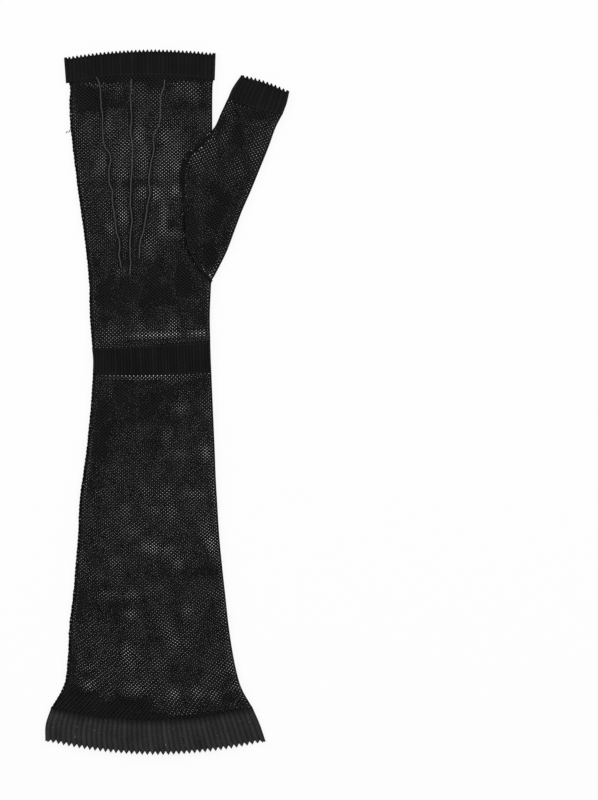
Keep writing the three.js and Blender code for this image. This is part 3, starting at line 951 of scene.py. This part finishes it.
def net_panel(net, side, sizes):
    """Lattice of one side of a net, laid on its sleeve and cut along its seam."""
    sleeve = net.sleeve
    courses = round(sleeve.reach / sizes.course)
    bm = diamond_lattice(net.wales, courses)
    weights = bm.verts.layers.deform.verify()
    loose = sizes.strand / sizes.dense_strand
    tight = sizes.tight_strand / sizes.dense_strand
    wide = max(sleeve.width(row) for row in sleeve.rows)
    wire = sizes.dense_strand / WIRE_SHARE
    outside = set()
    grid = {}
    laid = {}
    for vert in bm.verts:
        grid[vert] = vert.co.copy()
        along = 0.5 - vert.co.y
        width = sleeve.width(sleeve.row(along))
        share = 1.0 - (0.5 - vert.co.x) * (wide / width) ** net.taper
        if share < 0.0:
            outside.add(vert)
            share = 0.0
        row = round(2 * courses * along)
        flat = sleeve.point(along, share, BACK, NET_INSET)
        fade = smooth_step(min(share, 1.0 - share) / FADE_SHARE)
        fade *= smooth_step(min(along, 1.0 - along) * sleeve.reach / FADE_LENGTH)
        dx, dy = warp(flat.x, flat.y, net.seed)
        opened = openness(flat.x, flat.y, sleeve, net.patches, net.ease)
        spread_x, spread_y = 0.0, 0.0
        if side == PALM:
            gap = flat.z - sleeve.point(along, share, PALM, NET_INSET).z
            slip_x, slip_y = slip_of(flat.x, flat.y, opened, sizes.slip)
            dx += slip_x
            dy += slip_y
            spread_x = (flat.x - VIEW.x) * gap / VIEW.z
            spread_y = (flat.y - VIEW.y) * gap / VIEW.z
        share += (fade * dx + spread_x) / width
        along -= (fade * dy + spread_y) / sleeve.reach
        point = sleeve.point(along, share, side, NET_INSET)
        if net.under is not None:
            carried = net.under.surface(point.x, point.y, NET_INSET, side)
            if carried is not None:
                point.z = max(point.z, carried) if side == BACK else min(point.z, carried)
        if side == BACK:
            point.z += fade * rumple(point.x, point.y, net.seed)
        vert.co = point
        laid[vert] = (row, share, opened)
    for vert in bm.verts:
        row, share, opened = laid[vert]
        lines = max(line_weight(net.start_lines, row), line_weight(net.end_lines, 2 * courses - row))
        cell = half_cell(vert, grid, outside)
        usual = fitted(tight + (loose - tight) * opened, wire, cell)
        if 0.0 < lines < EYELET_LINE:
            shut = 1.0 - smooth_step((opened - EYELET_START) / EYELET_EASE)
            lines += (EYELET_SHUT - lines) * shut
        weight = fitted(lines, wire, cell) if lines else usual
        if net.tight_fold:
            least, begin, over = LEFT_FOLD
            weight += max(least - weight, 0.0) * (1.0 - smooth_step((share - begin) / over))
        least, begin, over = RIGHT_FOLD
        weight += max(least - weight, 0.0) * smooth_step((share - begin) / over)
        weight = min(weight, fitted(1.0, wire, cell))
        weight = max(weight, seam_weight(net, side, vert.co, usual))
        vert[weights][0] = min(weight, 1.0)
    gone = [face for face in bm.faces if all(vert in outside for vert in face.verts)]
    bmesh.ops.delete(bm, geom=gone, context="FACES")
    if net.seam:
        trim_at_seam(bm, sleeve, *net.seam)
    bmesh.ops.recalc_face_normals(bm, faces=bm.faces)
    return bm


def nearness(gap, zone):
    """1 within a zone's first length, easing to 0 over its second."""
    return 1.0 - smooth_step((gap - zone[0]) / zone[1])


def seam_weight(net, side, point, usual):
    """Share of the dense strand's width beside the thumb's seam, at the fork and beside a cord."""
    flat = Vector((point.x, point.y, 0.0))
    closeness = 0.0
    if net.seam:
        line = [place_xy(place, net.sleeve) for place in net.seam[0]]
        gap = nearest_on(line, flat)[0]
        closeness = nearness(gap, SEAM_ZONE)
        fork = (flat - line[1]).length
        closeness = max(closeness, nearness(fork, FORK_ZONE))
    if net.node == "hand_net" and side == BACK:
        for places in CORDS.values():
            line = [place_xy(place, net.sleeve) for place in places]
            gap = nearest_on(line, flat)[0]
            closeness = max(closeness, CORD_HOLD * nearness(gap, CORD_ZONE))
    return usual + (1.0 - usual) * closeness if closeness > 0.0 else 0.0


def seam_x(line, y):
    """Across position of a seam at a height y."""
    if y >= line[0].y:
        return line[0].x
    for upper, lower in zip(line, line[1:]):
        if upper.y >= y >= lower.y:
            share = (upper.y - y) / (upper.y - lower.y)
            return upper.x + share * (lower.x - upper.x)
    return None


def nearest_on(line, point):
    """Nearest place to a point on a polyline, seen from above."""
    best = None
    for start, end in zip(line, line[1:]):
        run = end - start
        share = (point - start).dot(run) / run.length_squared
        found = start + run * min(max(share, 0.0), 1.0)
        gap = (found - point).length
        if best is None or gap < best[0]:
            best = (gap, found)
    return best


def trim_at_seam(bm, sleeve, places, keep_right):
    """Cut a lattice along the thumb's seam and draw its new edge onto the seam."""
    line = [place_xy(place, sleeve) for place in places]
    kept_edges = {edge for edge in bm.edges if edge.is_boundary}
    gone = []
    for face in bm.faces:
        middle = face.calc_center_median()
        x = seam_x(line, middle.y)
        if x is None:
            past = keep_right
        else:
            past = middle.x < x if keep_right else middle.x > x
        if past:
            gone.append(face)
    bmesh.ops.delete(bm, geom=gone, context="FACES")
    fresh = {vert for edge in bm.edges if edge.is_boundary and edge not in kept_edges
             for vert in edge.verts}
    for vert in fresh:
        gap, found = nearest_on(line, Vector((vert.co.x, vert.co.y, 0.0)))
        if gap < DRAWN_IN:
            vert.co.x, vert.co.y = found.x, found.y


def tooth_drop(turn, depth, sharp):
    """Drop of a toothed edge below its tips; each turn is one tooth."""
    if sharp:
        return depth * (1.0 - abs(2.0 * (turn % 1.0) - 1.0))
    return depth * (0.5 - 0.5 * math.cos(2.0 * math.pi * turn))


def face_outwards(bm, middle):
    """Turn a laid tube's faces away from its middle height."""
    bmesh.ops.recalc_face_normals(bm, faces=bm.faces)
    bm.normal_update()
    outward = sum(face.normal.z * (face.calc_center_median().z - middle) for face in bm.faces)
    if outward < 0.0:
        bmesh.ops.reverse_faces(bm, faces=bm.faces)


def ring_band(sleeve, wales, courses, per_wale, rib, tooth=0.0, tooth_at=None):
    """Closely knitted ring with ribs along its wales and teeth on one edge."""
    bm = bmesh.new()
    bm.loops.layers.uv.new("UVMap")
    bmesh.ops.create_grid(
        bm, x_segments=wales * per_wale, y_segments=courses, size=0.5, calc_uvs=True,
    )
    for vert in bm.verts:
        turn = vert.co.x + 0.5
        along = 0.5 - vert.co.y
        side = PALM if turn < 0.5 else BACK
        share = 2 * turn if side == PALM else 2 * (1 - turn)
        groove = 0.5 - 0.5 * math.cos(2 * math.pi * turn * wales)
        flats = smooth_step(min(share, 1.0 - share) / TOOTH_EASE)
        deep = tooth * (TOOTH_SHARES[0] + TOOTH_SHARES[1] * flats)
        drop = 0.0
        if tooth_at == "start":
            drop = tooth_drop(turn * wales, deep, False) * smooth_step(1.0 - along / TOOTHED)
        elif tooth_at == "end":
            ease = smooth_step((along - (1.0 - TOOTHED)) / TOOTHED)
            drop = -tooth_drop(turn * wales, deep, True) * ease
        vert.co = sleeve.point(along, share, side, BAND_INSET + rib * groove, drop)
    bmesh.ops.remove_doubles(bm, verts=bm.verts, dist=MERGE)
    face_outwards(bm, sleeve.fold)
    return bm


def thicken(piece, thickness):
    """Give a close-knitted skin its thickness, inwards and nowhere below the floor."""
    wall = piece.modifiers.new("Wall", "SOLIDIFY")
    wall.thickness = thickness
    wall.offset = -1.0
    mesh = evaluated_mesh(piece)
    for vert in mesh.vertices:
        vert.co.z = max(vert.co.z, BAND_INSET)
    piece.modifiers.clear()
    piece.data = mesh


def add_band(node, bm, material, sleeve):
    """Piece for a knitted ring, with its wall, in the place of its plain solid."""
    piece = new_piece(node + "_knit", bm, material)
    thicken(piece, BAND_WALL)
    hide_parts(node)
    around = 2.0 * max(sleeve.width(row) for row in sleeve.rows)


def twisted_cord(name, points, width, pitch, plies=2):
    """Mesh of plies wound round each other along a route."""
    route = bpy.data.curves.new(name + "_route", "CURVE")
    route.dimensions = "3D"
    route.bevel_depth = width / 4
    route.bevel_resolution = 1
    route.use_fill_caps = True
    step = pitch / TURN_SAMPLES
    samples = []
    walked = 0.0
    for start, end in zip(points, points[1:]):
        run = end - start
        count = max(1, int(round(run.length / step)))
        for index in range(count):
            share = index / count
            samples.append((start.lerp(end, share), run.normalized(), walked + run.length * share))
        walked += run.length
    samples.append((points[-1], (points[-1] - points[-2]).normalized(), walked))
    for ply in range(plies):
        spline = route.splines.new("POLY")
        spline.points.add(len(samples) - 1)
        for knot, (middle, ahead, distance) in zip(spline.points, samples):
            sideways = ahead.cross(Vector((0, 0, 1))).normalized()
            upwards = sideways.cross(ahead).normalized()
            angle = 2 * math.pi * (distance / pitch + ply / plies)
            offset = (sideways * math.cos(angle) + upwards * math.sin(angle)) * width / 4
            knot.co = (*(middle + offset), 1.0)
    holder = bpy.data.objects.new(name + "_route", route)
    bpy.context.scene.collection.objects.link(holder)
    mesh = evaluated_mesh(holder)
    bm = bmesh.new()
    bm.from_mesh(mesh)
    bmesh.ops.remove_doubles(bm, verts=bm.verts, dist=MERGE)
    bpy.data.objects.remove(holder)
    bpy.data.curves.remove(route)
    bpy.data.meshes.remove(mesh)
    return bm


def smooth_route(places, count):
    """Evenly spaced points on a smooth curve through places."""
    gone = [0.0]
    for start, end in zip(places, places[1:]):
        gone.append(gone[-1] + (end - start).length)
    columns = list(zip(*places))
    return [
        Vector([hermite(gone, column, gone[-1] * i / count) for column in columns])
        for i in range(count + 1)
    ]


class MITTEN_OT_nets(bpy.types.Operator):
    """Lay the hand's, the forearm's and the thumb's net, one lattice for each side"""

    bl_idname = "mitten.nets"
    bl_label = "Nets"

    def execute(self, context):
        sizes = context.scene.mitten_sizes
        colours = context.scene.mitten_colours
        # The net's yarn has painted light: lighter along the strands' ridges, darker beside the holes
        material = shared_material("Net yarn", colours.net, unevenness=0.4, fibre=1100.0, ridged=True)
        hand = Sleeve(HAND, sizes, seam_room=SEAM_ROOM)
        forearm = Sleeve(FOREARM, sizes, seam_room=SEAM_ROOM)
        for net in (
            Net(node="hand_net", sleeve=hand, wales=sizes.hand_wale, taper=0.8, seed=16.0,
                patches=HAND_PATCHES, ease=0.06, seam=(BACK_SEAM, False), start_lines=FINGER_LINES,
                end_lines=HAND_END_LINES, tight_fold=True, under=None),
            Net(node="forearm_net", sleeve=forearm, wales=sizes.forearm_wale, taper=0.80, seed=11.0,
                patches=FOREARM_PATCHES, ease=0.04, seam=None, start_lines=WRIST_LINES,
                end_lines=CUFF_LINES, tight_fold=True, under=None),
            Net(node="thumb_net", sleeve=Sleeve(THUMB, sizes), wales=sizes.thumb_wale, taper=1.0,
                seed=83.0, patches=THUMB_PATCHES, ease=-0.14, seam=(BACK_SEAM, True),
                start_lines=THUMB_LINES, end_lines=(), tight_fold=False, under=hand),
        ):
            for side, word in ((BACK, "back"), (PALM, "palm")):
                bm = net_panel(net, side, sizes)
                area = sum(face.calc_area() for face in bm.faces)
                piece = new_piece(f"{net.node}_{word}", bm, material)
                strand_wire(piece, sizes.dense_strand / WIRE_SHARE)
                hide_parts(net.node)
                wide = max(net.sleeve.width(row) for row in net.sleeve.rows)
        return {"FINISHED"}


class MITTEN_OT_bands(bpy.types.Operator):
    """Knit the close bands at the fingers, the thumb and the wrist"""

    bl_idname = "mitten.bands"
    bl_label = "Bands"

    def execute(self, context):
        sizes = context.scene.mitten_sizes
        colours = context.scene.mitten_colours
        tooth = sizes.band_tooth
        # The last column is the painted light on the ribs: the colour's factor in a groove, and what a
        # rib crest adds to it
        for node, rows, shifts, wales, courses, lines, per_wale, depth, shade in (
            ("finger_band", FINGER_BAND, (0.0004, 0.0035), 80, 24, 12, 6, tooth, (0.55, 1.05)),
            ("thumb_band", THUMB_BAND, (0.0003, 0.0010), 26, 26, 14, 8, tooth, (0.6, 1.1)),
            ("wrist_band", WRIST_BAND, (0.0, 0.0), 78, 30, 18, 6, 0.0, (0.35, 1.4)),
        ):
            sleeve = Sleeve(rows, sizes, palm_start=shifts[0], palm_end=shifts[1])
            title = node.replace("_", " ").capitalize() + " yarn"
            material = shared_material(title, colours.band, loops=(wales, lines), shade=shade)
            bm = ring_band(sleeve, wales, courses, per_wale, sizes.band_rib, depth, "start")
            add_band(node, bm, material, sleeve)
        return {"FINISHED"}


class MITTEN_OT_cuff(bpy.types.Operator):
    """Knit the flared, ribbed and toothed cuff at the elbow"""

    bl_idname = "mitten.cuff"
    bl_label = "Elbow cuff"

    def execute(self, context):
        sizes = context.scene.mitten_sizes
        colours = context.scene.mitten_colours
        cuff = Sleeve(ELBOW_CUFF, sizes, palm_start=-0.0022, palm_end=-0.0002)
        # The cuff's yarn has painted light on its ribs and a painted shade over its top fifth, where the
        # forearm net meets it
        material = shared_material(
            "Cuff yarn", colours.cuff, unevenness=0.4, loops=(86, 14), shade=(0.50, 0.95), lint=0.35,
            dark_start=0.7,
        )
        bm = ring_band(cuff, 86, 26, 8, sizes.cuff_rib, sizes.cuff_tooth, "end")
        add_band("elbow_cuff", bm, material, cuff)
        return {"FINISHED"}


class MITTEN_OT_cords(bpy.types.Operator):
    """Sew the three raised wavy cords on the back of the hand"""

    bl_idname = "mitten.cords"
    bl_label = "Back cords"

    def execute(self, context):
        sizes = context.scene.mitten_sizes
        colours = context.scene.mitten_colours
        hand = Sleeve(HAND, sizes)
        material = shared_material("Cord yarn", colours.cord, lustre=0.35)
        for name, places in CORDS.items():
            flat = [place_xy(place, hand) for place in places]
            route = smooth_route(flat, 8 * len(flat))
            for point in route:
                kink = noise.noise_vector(wave_at(point.x, point.y, CORD_KINK_WAVE, 9.0))
                point.x += CORD_KINK * kink.x
                carried = hand.surface(point.x, point.y, 0.0, BACK)
                point.z = (carried or 2 * hand.fold) + sizes.cord_width * CORD_LIFT
            bm = twisted_cord(name, route, sizes.cord_width, CORD_PITCH)
            piece = new_piece(name + "_cord", bm, material)
            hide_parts(name)
        return {"FINISHED"}


class MITTEN_OT_seams(bpy.types.Operator):
    """Close the little-finger edge and set the thumb in with a seam"""

    bl_idname = "mitten.seams"
    bl_label = "Seams"

    def execute(self, context):
        sizes = context.scene.mitten_sizes
        colours = context.scene.mitten_colours
        material = shared_material("Seam yarn", colours.band, unevenness=0.4)
        for rows, node in ((HAND, "hand_side_seam"), (FOREARM, "forearm_side_seam")):
            sleeve = Sleeve(rows, sizes)
            route = []
            for index in range(SIDE_SEAM_STEPS + 1):
                point = sleeve.point(index / SIDE_SEAM_STEPS, 0.0, BACK, 0.0)
                sway = noise.noise(Vector((point.y / SIDE_SEAM_WAVE, 1.7, 4.0)))
                route.append(point + Vector((SIDE_SEAM_IN + SIDE_SEAM_SWAY * sway, 0.0, 0.0)))
            bm = twisted_cord(node, route, *SIDE_SEAM_YARN)
            piece = new_piece(node + "_stitches", bm, material)
            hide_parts(node)
        hand = Sleeve(HAND, sizes)
        for side, word in ((BACK, "back"), (PALM, "palm")):
            route = smooth_route([place_xy(place, hand) for place in BACK_SEAM[1:]], 80)
            for point in route:
                point.z = hand.rounded(point.x, point.y, NET_INSET, side)
                point.z += THUMB_SEAM_LIFT[side]
            bm = twisted_cord("thumb_seam", route, *THUMB_SEAM_YARN)
            new_piece(f"thumb_seam_{word}", bm, material)
        start = hand.point(STRAY_SHARE, 0.0, BACK, 0.0)
        wisp = [start + Vector(step) for step in STRAY_END]
        bm = twisted_cord("stray_end", smooth_route(wisp, 12), *STRAY_YARN, plies=1)
        new_piece("stray_end", bm, material)
        return {"FINISHED"}


class MITTEN_OT_stage(bpy.types.Operator):
    """Set the pale floor, the soft light and the camera straight above"""

    bl_idname = "mitten.stage"
    bl_label = "Stage"

    def execute(self, context):
        scene = context.scene
        bm = bmesh.new()
        bmesh.ops.create_grid(bm, x_segments=1, y_segments=1, size=3.0)
        mesh = bpy.data.meshes.new("floor")
        bm.to_mesh(mesh)
        bm.free()
        floor = bpy.data.objects.new("floor", mesh)
        scene.collection.objects.link(floor)
        paper = bpy.data.materials.new("Floor paper")
        paper.use_nodes = True
        shader = paper.node_tree.nodes["Principled BSDF"]
        shader.inputs["Base Color"].default_value = (*scene.mitten_colours.floor, 1.0)
        shader.inputs["Roughness"].default_value = 0.9
        shader.inputs["Emission Color"].default_value = WHITE
        shader.inputs["Emission Strength"].default_value = PAPER_GLOW
        shader.inputs["Specular IOR Level"].default_value = 0.0
        mesh.materials.append(paper)
        world = bpy.data.worlds.new("Studio")
        world.use_nodes = True
        background = world.node_tree.nodes["Background"]
        background.inputs["Color"].default_value = WHITE
        background.inputs["Strength"].default_value = STUDIO_LIGHT
        scene.world = world
        for name, place, power in LAMPS:
            lamp = bpy.data.lights.new(name, "AREA")
            lamp.size = LAMP_SIZE
            lamp.energy = power
            light = bpy.data.objects.new(name, lamp)
            light.location = place
            aim = LAMP_AIM - Vector(place)
            light.rotation_euler = aim.to_track_quat("-Z", "Y").to_euler()
            scene.collection.objects.link(light)
        lens = bpy.data.cameras.new("camera")
        lens.sensor_width = SENSOR
        lens.lens = SENSOR * VIEW.z / VIEW_HEIGHT
        camera = bpy.data.objects.new("camera", lens)
        camera.location = VIEW
        scene.collection.objects.link(camera)
        scene.camera = camera
        scene.view_settings.view_transform = "Standard"
        return {"FINISHED"}


class MITTEN_PT_panel(bpy.types.Panel):
    """Sidebar panel with the mitten's sizes, colours and pieces"""

    bl_idname = "MITTEN_PT_panel"
    bl_label = "Mitten"
    bl_space_type = "VIEW_3D"
    bl_region_type = "UI"
    bl_category = "Mitten"

    def draw(self, context):
        layout = self.layout
        for group in (context.scene.mitten_sizes, context.scene.mitten_colours):
            for name in group.bl_rna.properties.keys():
                if name not in {"rna_type", "name"}:
                    layout.prop(group, name)
        for operator in OPERATORS:
            layout.operator(operator.bl_idname)


OPERATORS = (
    MITTEN_OT_stage,
    MITTEN_OT_nets,
    MITTEN_OT_bands,
    MITTEN_OT_cuff,
    MITTEN_OT_cords,
    MITTEN_OT_seams,
)
CLASSES = (MittenSizes, MittenColours, *OPERATORS, MITTEN_PT_panel)


def register():
    """Add the mitten's properties, operators and panel."""
    for cls in CLASSES:
        bpy.utils.register_class(cls)
    bpy.types.Scene.mitten_sizes = PointerProperty(type=MittenSizes)
    bpy.types.Scene.mitten_colours = PointerProperty(type=MittenColours)


def unregister():
    """Take them away again."""
    del bpy.types.Scene.mitten_colours
    del bpy.types.Scene.mitten_sizes
    for cls in reversed(CLASSES):
        bpy.utils.unregister_class(cls)


def main():
    """Build the whole scene."""
    register()
    bpy.ops.mitten.stage()
    bpy.ops.mitten.nets()
    bpy.ops.mitten.bands()
    bpy.ops.mitten.cuff()
    bpy.ops.mitten.cords()
    bpy.ops.mitten.seams()


if __name__ == "__main__":
    main()
